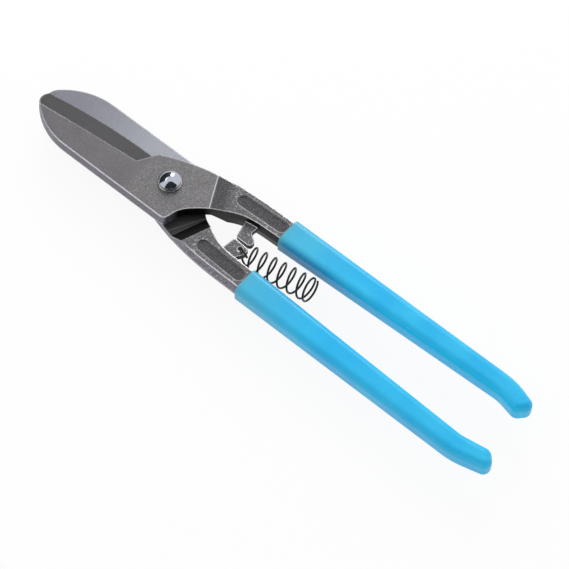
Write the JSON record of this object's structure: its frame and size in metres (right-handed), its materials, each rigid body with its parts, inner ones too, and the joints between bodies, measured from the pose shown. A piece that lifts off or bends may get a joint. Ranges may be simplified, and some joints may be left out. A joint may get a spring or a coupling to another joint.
{
  "type": "straight tin snips",
  "caption": "Straight-pattern tin snips: two forged halves crossing at a bolt, dipped blue grips, stop lugs and a hook spring between the handles.",
  "frame": {"origin": "on the pivot axis, at the end face of the pivot bolt behind the lock nut, the lowest point of the closed snips lying on their back", "axes": "+X from the pivot towards the handle ends, +Y towards the upper half's handle, +Z out of the bolt head along the pivot axis"},
  "size_m": [0.3028, 0.0506, 0.0251],
  "materials": {
    "forged_steel": "shot-blasted forging with ground blades",
    "blue_pvc": "dipped satin vinyl",
    "chrome_bolt": "polished",
    "spring_steel": "oiled spring steel",
    "plated_steel": "zinc plated",
    "nylon": "matt",
    "black_wire": "black oxide wire"
  },
  "bodies": {
    "lower": {"lower_half": "forged_steel", "lower_grip": "blue_pvc", "pivot_bolt": "chrome_bolt", "head_washer": "chrome_bolt", "rear_washer": "spring_steel", "lock_nut": "plated_steel", "nut_insert": "nylon"},
    "upper": {"upper_half": "forged_steel", "upper_grip": "blue_pvc"},
    "spring": {"return_spring": "black_wire"}
  },
  "joints": [
    {"name": "blade_pivot", "type": "hinge", "parent": "lower", "child": "upper", "pos_m": [0, 0, 0.01403], "axis": [0, 0, 1], "range_deg": [0, 40]},
    {"name": "spring_swing", "type": "hinge", "parent": "lower", "child": "spring", "pos_m": [0.0502, -0.0044, 0.01403], "axis": [0, 0, 1], "range_deg": [0, 3]}
  ]
}
